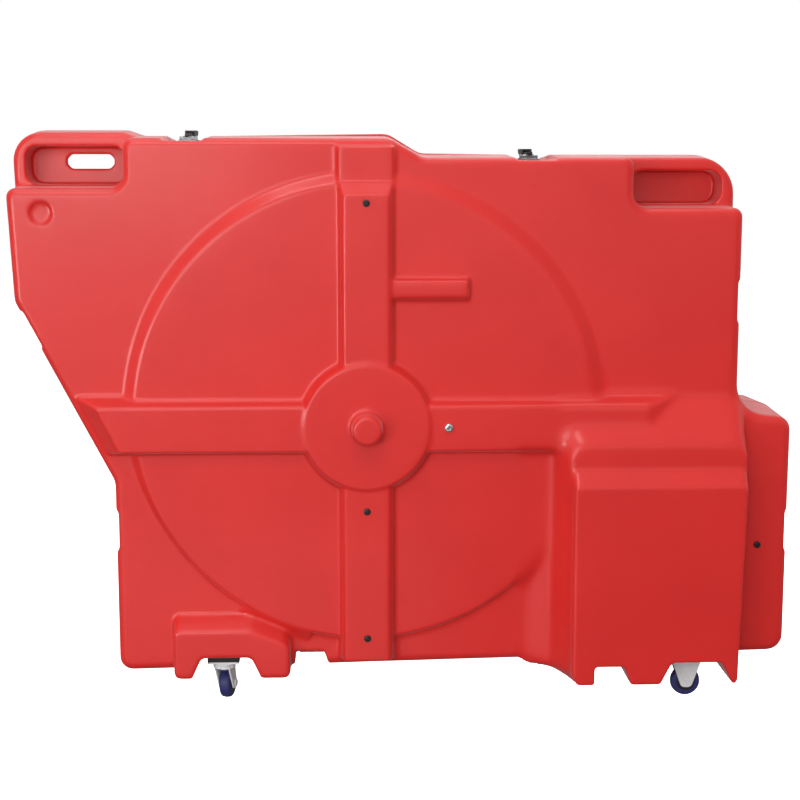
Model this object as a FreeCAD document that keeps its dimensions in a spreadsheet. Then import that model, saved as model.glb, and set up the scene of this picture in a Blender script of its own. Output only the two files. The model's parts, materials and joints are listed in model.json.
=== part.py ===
# Hard travel case for a bicycle: two moulded half shells, bottom hinges, draw latches and casters.
# X runs along the length, the front half looks to -Y and the parting plane is Y = 0.
# The origin is on the floor, below the middle of the case. Millimetres and degrees.
import FreeCAD, Part
import math
import os

Vector = FreeCAD.Vector
doc = FreeCAD.newDocument("bike_travel_case")

# Driving dimensions, one spreadsheet row each
SIZES = {
    # outline of a half shell at the parting plane
    "case_length": 1220.0,
    "lower_left_inset": 153.0,
    "upper_right_inset": 86.0,
    "upper_left_lean": 8.0,
    "bottom_left_height": 53.0,
    "bottom_right_height": 74.0,
    "slope_low_height": 360.0,
    "slope_high_height": 642.0,
    "shoulder_height": 470.0,
    "shoulder_fall": 10.0,
    "top_left_height": 894.0,
    "top_right_height": 865.0,
    "top_step_start": -24.0,
    "top_step_run": 50.0,
    # moulding
    "wall": 4.5,
    "draft_inset": 5.0,
    "parting_gap": 1.0,
    "main_depth": 125.0,
    "edge_round": 12.0,
    "block_corner": 18.0,
    "soft_corner": 25.0,
    "tight_corner": 10.0,
    "gentle_corner": 30.0,
    "shoulder_corner": 45.0,
    # carrying handles at the two top corners
    "handle_depth": 60.0,
    "handle_round": 9.0,
    "left_handle_top": 903.0,
    "left_handle_width": 178.0,
    "left_ledge_height": 819.0,
    "left_handle_corner": 48.0,
    "right_handle_width": 170.0,
    "right_ledge_height": 788.0,
    "right_handle_corner": 62.0,
    "pan_border": 25.0,
    "pan_corner": 20.0,
    "slot_length": 73.0,
    "slot_margin": 24.0,
    "slot_middle": 854.0,
    "slot_height": 22.0,
    # round wheel boss and the cross of ribs on each face
    "wheel_x": -63.0,
    "wheel_z": 467.0,
    "disc_radius": 355.0,
    "disc_rise": 10.0,
    "disc_bevel": 18.0,
    "disc_round": 6.0,
    "rib_rise": 26.0,
    "rib_x": -61.0,
    "rib_width": 72.0,
    "rib_bevel": 11.0,
    "rise_round": 6.0,
    "ridge_rise": 9.0,
    "ramp_low": 804.0,
    "ramp_high": 844.0,
    "cross_low": 412.0,
    "cross_high": 482.0,
    "cross_right": 378.0,
    "cross_bevel": 17.0,
    "cross_left_inset": 45.0,
    "cross_end_bevel": 56.0,
    "hub_z": 450.0,
    "hub_radius": 97.0,
    "hub_bevel": 13.0,
    "hub_rise": 29.0,
    "boss_radius": 22.5,
    "boss_bevel": 4.5,
    "boss_rise": 60.0,
    "boss_round": 4.0,
    "pod_left": -40.0,
    "pod_right": 94.0,
    "pod_low": 648.0,
    "pod_high": 674.0,
    "pod_rise": 22.0,
    "dimple_x": -552.0,
    "dimple_z": 777.0,
    "dimple_radius": 18.0,
    "dimple_depth": 4.0,
    # stepped bulge at the lower right
    "bulge_left": 254.0,
    "bulge_taper": 8.0,
    "bulge_right": 527.0,
    "bulge_rise": 60.0,
    "bulge_face_top": 361.0,
    "bulge_band_top": 394.0,
    "step_top": 423.0,
    "step_base_top": 498.0,
    "step_rise": 44.0,
    "bulge_ledge": 1.5,
    "step_spread": 38.0,
    "skirt_spread": 72.0,
    "skirt_rise": 8.0,
    "foot_flare": 20.0,
    "bulge_foot_height": 43.0,
    # leg at the lower left
    "leg_left": -364.0,
    "leg_right": -182.0,
    "leg_rise": 30.0,
    "leg_top": 129.0,
    "leg_slope": 25.0,
    "leg_bend": 62.5,
    "leg_foot_height": 52.0,
    "foot_setback": 30.0,
    # caster bays and hinge recesses in the bottom
    "left_bay_height": 86.0,
    "right_bay_height": 80.0,
    "bay_width": 78.0,
    "bay_flare": 24.0,
    "left_bay_shift": 7.0,
    "bay_setback": 25.0,
    "left_recess_height": 86.0,
    "right_recess_height": 74.0,
    "hinge_recess_width": 46.0,
    "hinge_recess_flare": 15.0,
    "left_hinge_x": -152.0,
    "right_hinge_x": 316.0,
    # hinges
    "hinge_axis_height": 52.0,
    "leaf_thickness": 3.0,
    "leaf_length": 44.0,
    "leaf_width": 40.0,
    "knuckle_radius": 6.0,
    "knuckle_length": 14.0,
    "hinge_pin_radius": 2.5,
    "running_clearance": 0.05,
    "side_clearance": 0.3,
    # draw latches
    "latch_recess_length": 64.0,
    "latch_recess_depth": 9.0,
    "latch_base_width": 28.0,
    "latch_plate": 2.5,
    "latch_base_length": 56.0,
    "latch_offset": 6.0,
    "ear_thickness": 2.5,
    "lever_width": 17.0,
    "lever_wall": 2.5,
    "lever_length": 50.0,
    "lever_height": 18.0,
    "pivot_height": 6.0,
    "pivot_inset": 14.0,
    "pivot_radius": 2.0,
    "hook_pivot_rise": 5.0,
    "hook_pivot_run": 8.0,
    "hook_pin_radius": 1.5,
    "hook_width": 10.0,
    "hook_thickness": 4.0,
    "hook_tip_length": 4.0,
    "hook_tip_drop": 0.8,
    "keeper_length": 28.0,
    "keeper_lip": 3.0,
    "keeper_lip_inset": 4.0,
    "top_left_latch_x": -338.0,
    "top_right_latch_x": 200.0,
    "slope_latch_share": 0.84,
    "left_lower_latch_z": 283.0,
    "right_upper_latch_z": 640.0,
    "right_lower_latch_z": 276.0,
    # casters
    "caster_y": 100.0,
    "left_caster_x": -289.0,
    "right_caster_x": 453.0,
    "tyre_radius": 24.0,
    "tyre_width": 18.0,
    "rim_radius": 15.0,
    "hub_width": 20.0,
    "axle_radius": 4.0,
    "axle_head_radius": 6.0,
    "axle_head_height": 2.0,
    "caster_height": 70.0,
    "caster_plate": 3.0,
    "caster_plate_length": 50.0,
    "caster_plate_width": 48.0,
    "fork_thickness": 2.5,
    "fork_tip_radius": 8.0,
    "fork_top_width": 52.0,
    "swivel_fork_width": 32.0,
    "raceway_radius": 18.0,
    "raceway_height": 5.0,
    "kingpin_radius": 5.0,
    "kingpin_nut_radius": 8.0,
    "kingpin_nut_height": 4.0,
    "trail": 17.0,
    "swivel_turn": 77.0,
    # inside
    "strut_x": 65.0,
    "strut_z": 449.0,
    "strut_radius": 14.0,
    "strut_bore": 3.0,
    "screw_radius": 2.9,
    "screw_head_radius": 6.5,
    "screw_head_height": 3.0,
    "screw_length": 26.0,
    "upper_bolt_drop": 12.0,
    "middle_bolt_z": 318.0,
    "lower_bolt_z": 115.0,
    "corner_bolt_x": 557.0,
    "corner_bolt_z": 254.0,
    "bolt_radius": 2.5,
    "bolt_head_radius": 5.0,
    "bolt_head_height": 2.5,
    "nut_radius": 5.0,
    "nut_height": 4.0,
    "strap_width": 25.0,
    "strap_thickness": 2.0,
    "strap_length": 150.0,
}

sheet = doc.addObject("Spreadsheet::Sheet", "Sizes")
for row, (alias, value) in enumerate(SIZES.items(), start=1):
    sheet.set("A%d" % row, alias)
    sheet.set("B%d" % row, str(value))
    sheet.setAlias("B%d" % row, alias)
doc.recompute()


def size(alias):
    return float(sheet.get(alias))


WALL = size("wall")
RIM_LEVEL = size("parting_gap") / 2
MAIN = size("main_depth")
HALF_LENGTH = size("case_length") / 2
LEFT_LOW = size("lower_left_inset") - HALF_LENGTH
RIGHT_HIGH = HALF_LENGTH - size("upper_right_inset")
LEFT_HANDLE = size("left_handle_width") - HALF_LENGTH
RIGHT_HANDLE = RIGHT_HIGH - size("right_handle_width")
HINGES = [
    ("hinge_left", size("left_hinge_x"), size("left_recess_height")),
    ("hinge_right", size("right_hinge_x"), size("right_recess_height")),
]
SOFT_CORNER = size("soft_corner")
TIGHT_CORNER = size("tight_corner")
GENTLE_CORNER = size("gentle_corner")
# a full round end, kept just short of a half circle
SLOT_ROUND = 0.98
# how far cuts run past the faces that they open
BEYOND = 60.0
# how close two levels or directions count as the same
FINE = 0.01
ALONG_X = Vector(1, 0, 0)
ALONG_Z = Vector(0, 0, 1)


# Outlines as corners (x, z, radius), inset by moving every side inwards

def inset_corners(corners, inset):
    """Move each side of a clockwise outline inwards and meet the moved sides again."""
    moved = []
    count = len(corners)
    for index, (x, z, radius) in enumerate(corners):
        before = Vector(*corners[index - 1][:2], 0)
        here = Vector(x, z, 0)
        after = Vector(*corners[(index + 1) % count][:2], 0)
        first = (here - before).normalize()
        second = (after - here).normalize()
        inward_first = Vector(first.y, -first.x, 0)
        inward_second = Vector(second.y, -second.x, 0)
        reach = inset / (1 + inward_first.dot(inward_second))
        point = here + (inward_first + inward_second) * reach
        turn = first.cross(second).z
        changed = radius - inset if turn < 0 else radius + inset
        moved.append((point.x, point.y, max(changed, 1.0) if radius else 0.0))
    return moved


def outline_edges(corners):
    """Lines joined by tangent arcs through corners (x, z, radius)."""
    ends = []
    count = len(corners)
    for index, (x, z, radius) in enumerate(corners):
        here = Vector(x, z, 0)
        back = (Vector(*corners[index - 1][:2], 0) - here).normalize()
        ahead = (Vector(*corners[(index + 1) % count][:2], 0) - here).normalize()
        half = back.getAngle(ahead) / 2
        reach = radius / math.tan(half)
        middle = (back + ahead).normalize()
        bend = here + middle * (radius / math.sin(half) - radius)
        ends.append((here + back * reach, bend, here + ahead * reach, radius))
    edges = []
    for index, (start, bend, stop, radius) in enumerate(ends):
        if radius > 0:
            edges.append(Part.Arc(start, bend, stop))
        edges.append(Part.LineSegment(stop, ends[(index + 1) % count][0]))
    return edges


def rectangle(left, right, low, high, radius=0.0):
    return [(left, high, radius), (right, high, radius), (right, low, radius), (left, low, radius)]


def lower_right_corners():
    """The run from the right wall's shoulder round the bottom to the upper left wall."""
    shoulder = size("shoulder_height")
    return [
        (RIGHT_HIGH, shoulder, size("shoulder_corner")),
        (HALF_LENGTH, shoulder - size("shoulder_fall"), SOFT_CORNER),
        (HALF_LENGTH, size("bottom_right_height"), GENTLE_CORNER),
        (LEFT_LOW, size("bottom_left_height"), SOFT_CORNER),
        (LEFT_LOW, size("slope_low_height"), GENTLE_CORNER),
        (size("upper_left_lean") - HALF_LENGTH, size("slope_high_height"), GENTLE_CORNER),
    ]


def top_step_corners():
    """The S-shaped step between the two heights of the top edge."""
    start = size("top_step_start")
    return [
        (start, size("top_left_height"), GENTLE_CORNER),
        (start + size("top_step_run"), size("top_right_height"), GENTLE_CORNER),
    ]


def rim_corners():
    """The whole outline, with both handles."""
    handle_top = size("left_handle_top")
    return [
        (-HALF_LENGTH, handle_top, size("left_handle_corner")),
        (LEFT_HANDLE, handle_top, SOFT_CORNER),
        (LEFT_HANDLE + SOFT_CORNER, size("top_left_height"), SOFT_CORNER),
        *top_step_corners(),
        (RIGHT_HIGH, size("top_right_height"), size("right_handle_corner")),
        *lower_right_corners(),
    ]


def block_corners():
    """The outline of the deep part, stepped down below both handles."""
    left_ledge = size("left_ledge_height")
    right_ledge = size("right_ledge_height")
    return [
        (-HALF_LENGTH, left_ledge, size("block_corner")),
        (LEFT_HANDLE, left_ledge, size("block_corner")),
        (LEFT_HANDLE, size("top_left_height"), size("block_corner")),
        *top_step_corners(),
        (RIGHT_HANDLE, size("top_right_height"), size("block_corner")),
        (RIGHT_HANDLE, right_ledge, size("block_corner")),
        (RIGHT_HIGH, right_ledge, size("block_corner")),
        *lower_right_corners(),
    ]


# Feature helpers for bodies whose sketches lie parallel to the parting plane

def origin_plane(body, role):
    return next(item for item in body.Origin.OriginFeatures if item.Role == role)


def level_sketch(body, name, edges, level):
    """A sketch parallel to the parting plane, at a level in front of it."""
    sketch = body.newObject("Sketcher::SketchObject", name)
    sketch.AttachmentSupport = (origin_plane(body, "XZ_Plane"), [""])
    sketch.MapMode = "FlatFace"
    sketch.AttachmentOffset = FreeCAD.Placement(Vector(0, 0, level), FreeCAD.Rotation())
    sketch.addGeometry(edges, False)
    return sketch


def loft(body, name, low_edges, low_level, high_edges, high_level, cut=False):
    """A ruled form between two outlines of one kind at two levels."""
    kind = "PartDesign::SubtractiveLoft" if cut else "PartDesign::AdditiveLoft"
    low = level_sketch(body, name + "_low", low_edges, low_level)
    high = level_sketch(body, name + "_high", high_edges, high_level)
    feature = body.newObject(kind, name)
    feature.Profile = low
    feature.Sections = [high]
    feature.Ruled = True
    doc.recompute()
    return feature


def circle_edges(x, z, radius):
    return [Part.Circle(Vector(x, z, 0), Vector(0, 0, 1), radius)]


def round_edges_at(body, base, level, radius, along=None):
    """Round the edges that lie wholly at one level of a form, or only those straight along a direction."""
    names = []
    for index, edge in enumerate(base.Shape.Edges, start=1):
        box = edge.BoundBox
        if abs(box.YMin + level) > FINE or abs(box.YMax + level) > FINE:
            continue
        ends = edge.Vertexes[-1].Point - edge.Vertexes[0].Point
        if along and ends.cross(along).Length > FINE * ends.Length:
            continue
        names.append("Edge%d" % index)
    fillet = body.newObject("PartDesign::Fillet", base.Name + "_round")
    fillet.Base = (base, names)
    fillet.Radius = radius
    doc.recompute()
    return fillet


# One half of the case: the outer form, and the hollow inside it

def add_rises(body, tag, inset):
    """The forms that stand proud of the main face, each drawn in by the inset."""
    root = MAIN - WALL - inset
    lip = -inset
    rib_level = MAIN + size("rib_rise")

    def corners_rise(name, low_corners, low_level, high_corners, high_level, soft_along=None):
        form = loft(body, tag + name,
                    outline_edges(inset_corners(low_corners, inset)), low_level,
                    outline_edges(inset_corners(high_corners, inset)), high_level + lip)
        if soft_along and inset == 0:
            round_edges_at(body, form, high_level, size("rise_round"), soft_along)

    def round_rise(name, x, z, radius, bevel, rise, soft=None):
        spread = bevel * (1 + WALL / rise)
        form = loft(body, tag + name, circle_edges(x, z, radius + spread - inset), root,
                    circle_edges(x, z, radius - inset), MAIN + rise + lip)
        if soft and inset == 0:
            round_edges_at(body, form, MAIN + rise, size(soft))

    add_cross(corners_rise, round_rise, root, rib_level)
    add_bulge(corners_rise, root, inset)
    add_leg(corners_rise, root, inset)


def add_cross(corners_rise, round_rise, root, rib_level):
    """The wheel disc, the cross of ribs, the hub with its boss, and the pod."""
    bevel = size("rib_bevel")
    rib_left = size("rib_x") - size("rib_width") / 2
    rib_right = size("rib_x") + size("rib_width") / 2
    rib_low = size("bottom_left_height") + SOFT_CORNER
    ridge_top = size("top_left_height") - size("draft_inset") - size("edge_round")
    low = size("cross_low")
    high = size("cross_high")
    right = size("cross_right")
    base_low = low - bevel / 2
    base_high = high + size("cross_bevel")
    run = LEFT_LOW + HALF_LENGTH - size("upper_left_lean")
    lean = run / (size("slope_high_height") - size("slope_low_height"))

    def left_at(z, margin):
        return LEFT_LOW - lean * (z - size("slope_low_height")) + margin

    edge = SOFT_CORNER - bevel
    end = size("cross_left_inset")
    round_rise("disc", size("wheel_x"), size("wheel_z"), size("disc_radius"), size("disc_bevel"),
               size("disc_rise"), "disc_round")
    corners_rise("ridge", rectangle(rib_left - bevel, rib_right + bevel, rib_low, ridge_top), root,
                 rectangle(rib_left - bevel / 2, rib_right + bevel / 2, rib_low, ridge_top),
                 MAIN + size("ridge_rise"))
    corners_rise("rib", rectangle(rib_left - bevel, rib_right + bevel, rib_low, size("ramp_high")), root,
                 rectangle(rib_left, rib_right, rib_low, size("ramp_low")), rib_level, ALONG_Z)
    corners_rise("cross",
                 [(left_at(base_high, edge), base_high, 0.0),
                  (right + size("cross_end_bevel"), base_high, 0.0),
                  (right + bevel, base_low, 0.0), (left_at(base_low, edge), base_low, 0.0)],
                 root,
                 [(left_at(high, end), high, 0.0), (right, high, 0.0), (right, low, 0.0),
                  (left_at(low, end), low, 0.0)], rib_level)
    round_rise("hub", size("rib_x"), size("hub_z"), size("hub_radius"), size("hub_bevel"), size("hub_rise"))
    round_rise("boss", size("rib_x"), size("hub_z"), size("boss_radius"), size("boss_bevel"),
               size("boss_rise"), "boss_round")
    corners_rise("pod",
                 rectangle(size("pod_left") - bevel, size("pod_right") + bevel / 2,
                           size("pod_low") - bevel / 2, size("pod_high") + bevel), root,
                 rectangle(size("pod_left"), size("pod_right"), size("pod_low"), size("pod_high")),
                 MAIN + size("pod_rise"), ALONG_X)


def add_bulge(corners_rise, root, inset):
    """The stepped bulge at the lower right, with its flared foot and its skirt."""
    left = size("bulge_left")
    right = size("bulge_right")
    foot = size("bulge_foot_height")
    spread = size("step_spread")
    skirt = size("skirt_spread")
    flare = size("foot_flare")
    narrow = right - size("bulge_taper")
    face_top = size("bulge_face_top")
    bottom = size("bottom_right_height") - flare / 2

    def outline(left_side, top, within=0.0):
        """A block whose lower left corner slants out to its left side."""
        slant = left + flare / 2 - (left - left_side) / 4
        return [(left_side, top, SOFT_CORNER), (right - within, top, SOFT_CORNER),
                (narrow - within, foot + within, TIGHT_CORNER), (slant, foot + within, TIGHT_CORNER),
                (left_side, bottom, TIGHT_CORNER)]

    def face(top, radius):
        return [(left, top, radius), (right, top, radius), (narrow, foot, TIGHT_CORNER),
                (left + flare / 2, foot, TIGHT_CORNER), (left, foot + flare, TIGHT_CORNER)]

    swept = [(left - skirt, face_top, TIGHT_CORNER), (right, face_top, TIGHT_CORNER),
             (narrow, foot, TIGHT_CORNER), (left + flare / 2, foot, TIGHT_CORNER),
             (left - flare, foot + flare, TIGHT_CORNER), (left - skirt, bottom + flare / 4, TIGHT_CORNER)]
    corners_rise("bulge_foot", swept, size("foot_setback") + inset, swept, root + inset)
    corners_rise("skirt", outline(left - skirt, size("step_top"), flare / 2), root,
                 outline(left - spread, size("bulge_band_top"), flare / 2), MAIN + size("skirt_rise"))
    step_level = MAIN + size("step_rise")
    corners_rise("step", outline(left - spread, size("step_base_top")), root,
                 face(size("step_top"), SOFT_CORNER), step_level)
    ledge = size("bulge_ledge")
    corners_rise("bulge", inset_corners(face(size("bulge_band_top"), TIGHT_CORNER), ledge),
                 step_level - WALL - inset,
                 inset_corners(face(face_top, TIGHT_CORNER), ledge), MAIN + size("bulge_rise"))


def add_leg(corners_rise, root, inset):
    """The leg at the lower left."""
    left = size("leg_left")
    right = size("leg_right")
    foot = size("leg_foot_height")
    top = size("leg_top")
    slope = size("leg_slope")

    def outline(rise):
        return [(left, top + rise, TIGHT_CORNER), (right - size("leg_bend"), top + rise, SOFT_CORNER),
                (right, top - slope + rise, SOFT_CORNER), (right, foot, TIGHT_CORNER),
                (left, foot, TIGHT_CORNER)]

    corners_rise("leg_foot", outline(0.0), size("foot_setback") + inset, outline(0.0), root + inset)
    corners_rise("leg", outline(slope), root, outline(0.0), MAIN + size("leg_rise"), ALONG_X)


def bays():
    """Names, middles and roof heights of the two caster bays."""
    return [
        ("left_bay", size("left_caster_x") + size("left_bay_shift"), size("left_bay_height")),
        ("right_bay", size("right_caster_x"), size("right_bay_height")),
    ]


def bay_corners(x, height, inset):
    half = size("bay_width") / 2 + inset
    flare = size("bay_flare")
    top = height + inset
    foot = size("bulge_foot_height") - TIGHT_CORNER
    return [(x - half, top, TIGHT_CORNER), (x + half, top, TIGHT_CORNER),
            (x + half + flare, foot, 0.0), (x - half - flare, foot, 0.0)]


def hinge_recess_corners(x, height, inset):
    half = size("hinge_recess_width") / 2 + inset
    flare = size("hinge_recess_flare")
    top = height + inset
    foot = size("bulge_foot_height") - TIGHT_CORNER
    return [(x - half, top, 0.0), (x + half, top, 0.0), (x + half + flare, foot, 0.0), (x - half, foot, 0.0)]


def latch_frames():
    """Names and frames of the six latches: a point on the outer wall and the outward turn about Y."""
    rise = size("slope_high_height") - size("slope_low_height")
    run = LEFT_LOW + HALF_LENGTH - size("upper_left_lean")
    share = size("slope_latch_share")
    return [
        ("latch_top_left", size("top_left_latch_x"), size("top_left_height"), 0.0),
        ("latch_top_right", size("top_right_latch_x"), size("top_right_height"), 0.0),
        ("latch_left_upper", LEFT_LOW - share * run, size("slope_low_height") + share * rise,
         math.degrees(math.atan2(-rise, -run))),
        ("latch_left_lower", LEFT_LOW, size("left_lower_latch_z"), -90.0),
        ("latch_right_upper", RIGHT_HIGH, size("right_upper_latch_z"), 90.0),
        ("latch_right_lower", HALF_LENGTH, size("right_lower_latch_z"), 90.0),
    ]


def latch_recess_corners(x, z, turn, inset):
    """A shallow recess in the wall below one latch, as a turned rectangle."""
    half = size("latch_recess_length") / 2 + inset
    deep = -size("latch_recess_depth") - inset
    out = Vector(math.sin(math.radians(turn)), math.cos(math.radians(turn)), 0)
    along = Vector(out.y, -out.x, 0)
    here = Vector(x, z, 0)
    points = [here - along * half + out * BEYOND, here + along * half + out * BEYOND,
              here + along * half + out * deep, here - along * half + out * deep]
    return [(point.x, point.y, 0.0) for point in points]


def pan_corners(left, right, low, high, inset):
    return inset_corners(rectangle(left, right, low, high, size("pan_corner")), -inset)


def handle_pans():
    """The recess in each handle: left, right, low and high sides."""
    border = size("pan_border")
    return {
        "left_pan": (border - HALF_LENGTH, LEFT_HANDLE,
                     size("left_ledge_height"), size("left_handle_top") - border),
        "right_pan": (RIGHT_HANDLE, RIGHT_HIGH - border,
                      size("right_ledge_height"), size("top_right_height") - border),
    }


def strap_bolts():
    """Names, places and outer levels of the wheel straps' bolts, and which way each strap runs."""
    rib_level = MAIN + size("rib_rise")
    return [
        ("upper_bolt", size("rib_x"), size("ramp_low") - size("upper_bolt_drop"), rib_level, -1),
        ("middle_bolt", size("rib_x"), size("middle_bolt_z"), rib_level, 1),
        ("lower_bolt", size("rib_x"), size("lower_bolt_z"), rib_level, 1),
        ("corner_bolt", size("corner_bolt_x"), size("corner_bolt_z"), MAIN, 1),
    ]


def round_hole(body, name, x, z, radius, low_level, high_level):
    loft(body, name, circle_edges(x, z, radius), low_level, circle_edges(x, z, radius), high_level, cut=True)


def add_cuts(body, tag, inset):
    """Bays, recesses and handle pans, each widened by the inset."""
    def through(name, corners, low_level, high_level):
        edges = outline_edges(corners)
        loft(body, tag + name, edges, low_level, outline_edges(corners), high_level, cut=True)

    front = MAIN + size("bulge_rise") + BEYOND
    for name, x, height in bays():
        through(name, bay_corners(x, height, inset), size("bay_setback") - inset, front)
    for name, x, height in HINGES:
        through(name + "_recess", hinge_recess_corners(x, height, inset), -BEYOND, front)
    for name, x, z, turn in latch_frames():
        through(name + "_recess", latch_recess_corners(x, z, turn, inset), -BEYOND, front)
    for name, sides in handle_pans().items():
        floor_level = RIM_LEVEL + WALL if inset == 0 else -BEYOND
        through(name, pan_corners(*sides, inset), floor_level, size("handle_depth") + BEYOND)
    round_hole(body, tag + "dimple", size("dimple_x"), size("dimple_z"), size("dimple_radius") + inset,
               MAIN - size("dimple_depth") - inset, front)
    if inset == 0:
        slot_right = LEFT_HANDLE - size("slot_margin")
        middle = size("slot_middle")
        reach = size("slot_height") / 2
        slot = rectangle(slot_right - size("slot_length"), slot_right, middle - reach, middle + reach,
                         SLOT_ROUND * reach)
        through("slot", slot, -BEYOND, front)
        for name, x, z, level, _ in strap_bolts():
            round_hole(body, tag + name, x, z, size("bolt_radius") + size("running_clearance"),
                       level - 2 * WALL, front)


def half_form(tag, inset):
    """The outer form of a half, or with an inset the hollow inside it."""
    body = doc.addObject("PartDesign::Body", tag + "body")
    start = RIM_LEVEL if inset == 0 else -BEYOND
    draft = size("draft_inset")
    depth = size("handle_depth") - inset
    slab = loft(body, tag + "slab", outline_edges(inset_corners(rim_corners(), inset)), start,
                outline_edges(inset_corners(rim_corners(), inset + draft)), depth)
    round_edges_at(body, slab, depth, size("handle_round") - 0.5 * inset)
    block = loft(body, tag + "block", outline_edges(inset_corners(block_corners(), inset)), start,
                 outline_edges(inset_corners(block_corners(), inset + draft)), MAIN - inset)
    round_edges_at(body, block, MAIN - inset, size("edge_round") - inset)
    add_rises(body, tag, inset)
    add_cuts(body, tag, inset)
    return body


outer = half_form("outer_", 0.0)
hollow = half_form("hollow_", WALL)
nodes = []


def cut_object(name, base, tool):
    cut = doc.addObject("Part::Cut", name)
    cut.Base = base
    cut.Tool = tool
    return cut


def rod(name, radius, height, base, direction):
    """A round bar of expression-bound size from a base point along a direction."""
    bar = doc.addObject("Part::Cylinder", name)
    bar.setExpression("Radius", radius)
    bar.setExpression("Height", height)
    bar.Placement = FreeCAD.Placement(base, FreeCAD.Rotation(Vector(0, 0, 1), direction))
    return bar


def fused(name, parts):
    joined = doc.addObject("Part::MultiFuse", name)
    joined.Shapes = parts
    return joined


def grouped(name, parts):
    group = doc.addObject("Part::Compound", name)
    group.Links = parts
    nodes.append(group)
    return group


shell_form = cut_object("shell_form", outer, hollow)
RIB_LEVEL = MAIN + size("rib_rise")
screw_hole = rod("screw_hole", "Sizes.screw_radius + Sizes.running_clearance", "2 * Sizes.wall",
                 Vector(size("strut_x"), -RIB_LEVEL - WALL / 2, size("strut_z")), Vector(0, 1, 0))
front_shell = cut_object("front_shell", shell_form, screw_hole)
rear_shell = doc.addObject("Part::Mirroring", "rear_shell")
rear_shell.Source = shell_form
rear_shell.Normal = (0, 1, 0)
nodes.extend([front_shell, rear_shell])


# Small pieces: bodies with sketches on their own planes and pads bound to the sheet

def new_body(name, placement):
    body = doc.addObject("PartDesign::Body", name)
    body.Placement = placement
    nodes.append(body)
    return body


def extrude(body, name, role, edges, length, cut=False, offset=0.0, symmetric=True):
    """A pad or pocket of an outline on one of the body's planes."""
    full_name = "%s_%s" % (body.Name, name)
    sketch = body.newObject("Sketcher::SketchObject", full_name + "_sketch")
    sketch.AttachmentSupport = (origin_plane(body, role), [""])
    sketch.MapMode = "FlatFace"
    sketch.AttachmentOffset = FreeCAD.Placement(Vector(0, 0, offset), FreeCAD.Rotation())
    sketch.addGeometry(edges, False)
    feature = body.newObject("PartDesign::Pocket" if cut else "PartDesign::Pad", full_name)
    feature.Profile = sketch
    feature.SideType = "Symmetric" if symmetric else "One side"
    feature.setExpression("Length", length)
    doc.recompute()
    return feature


# Hinges below the parting line: two leaves and a pin each

CLEAR = size("side_clearance")
RUNNING = size("running_clearance")


def hinge(name, x, top):
    place = FreeCAD.Placement(Vector(x, 0, 0), FreeCAD.Rotation())
    axis = size("hinge_axis_height")
    thick = size("leaf_thickness")
    reach = RIM_LEVEL + size("leaf_length")
    bore = circle_edges(0, axis, size("hinge_pin_radius") + RUNNING)
    inner = "Sizes.knuckle_length"
    outer_length = "Sizes.leaf_width - 2 * Sizes.side_clearance"
    for half, sign in (("front", -1), ("rear", 1)):
        leaf = new_body("%s_%s_leaf" % (name, half), place)
        near = sign * RIM_LEVEL
        plate = rectangle(*sorted((near, sign * reach)), top - thick, top)
        tab = rectangle(*sorted((near, near + sign * thick)), axis, top - thick)
        width = inner if half == "front" else outer_length
        extrude(leaf, "plate", "YZ_Plane", outline_edges(plate), "Sizes.leaf_width")
        extrude(leaf, "tab", "YZ_Plane", outline_edges(tab), width)
        extrude(leaf, "knuckle", "YZ_Plane", circle_edges(0, axis, size("knuckle_radius")), width)
        if half == "rear":
            gap = rectangle(-2 * size("knuckle_radius"), 2 * size("knuckle_radius"),
                            axis - 2 * size("knuckle_radius"), top - thick)
            extrude(leaf, "gap", "YZ_Plane", outline_edges(gap),
                    inner + " + 2 * Sizes.side_clearance", cut=True)
        extrude(leaf, "bore", "YZ_Plane", bore, "2 * Sizes.leaf_width", cut=True)
    pin = new_body(name + "_pin", place)
    extrude(pin, "rod", "YZ_Plane", circle_edges(0, axis, size("hinge_pin_radius")), "Sizes.leaf_width")


for hinge_name, hinge_x, recess_height in HINGES:
    hinge(hinge_name, hinge_x, recess_height)


# Draw latches: keeper on the front half; base, lever and hook on the rear half

PIVOT = Vector(size("latch_offset") + size("pivot_inset"), size("pivot_height"), 0)
HOOK_PIVOT = PIVOT + Vector(size("hook_pivot_run"), size("hook_pivot_rise"), 0)
PLATE = size("latch_plate")
EAR_GAP = "Sizes.lever_width + 2 * Sizes.side_clearance"
HOOK_UNDER = HOOK_PIVOT.y - size("hook_thickness") / 2
TIP_UNDER = HOOK_UNDER - size("hook_tip_drop")
LIP_BACK = -size("latch_offset") - size("keeper_lip_inset")
LIP_FRONT = LIP_BACK - size("keeper_lip")


def latch_base(name, place):
    base = new_body(name + "_base", place)
    start = size("latch_offset")
    plate = rectangle(start, start + size("latch_base_length"), 0, PLATE)
    reach = PIVOT.y - PLATE
    ear = rectangle(PIVOT.x - reach, PIVOT.x + reach, 0, PIVOT.y + reach, reach / 2)
    ear[2] = (*ear[2][:2], 0.0)
    ear[3] = (*ear[3][:2], 0.0)
    gap = rectangle(PIVOT.x - 2 * reach, PIVOT.x + 2 * reach, PLATE, PIVOT.y + 2 * reach)
    extrude(base, "plate", "YZ_Plane", outline_edges(plate), "Sizes.latch_base_width")
    extrude(base, "ears", "YZ_Plane", outline_edges(ear), EAR_GAP + " + 2 * Sizes.ear_thickness")
    extrude(base, "gap", "YZ_Plane", outline_edges(gap), EAR_GAP, cut=True)
    bore = circle_edges(PIVOT.x, PIVOT.y, size("pivot_radius") + RUNNING)
    extrude(base, "bore", "YZ_Plane", bore, "2 * Sizes.latch_base_width", cut=True)


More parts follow.
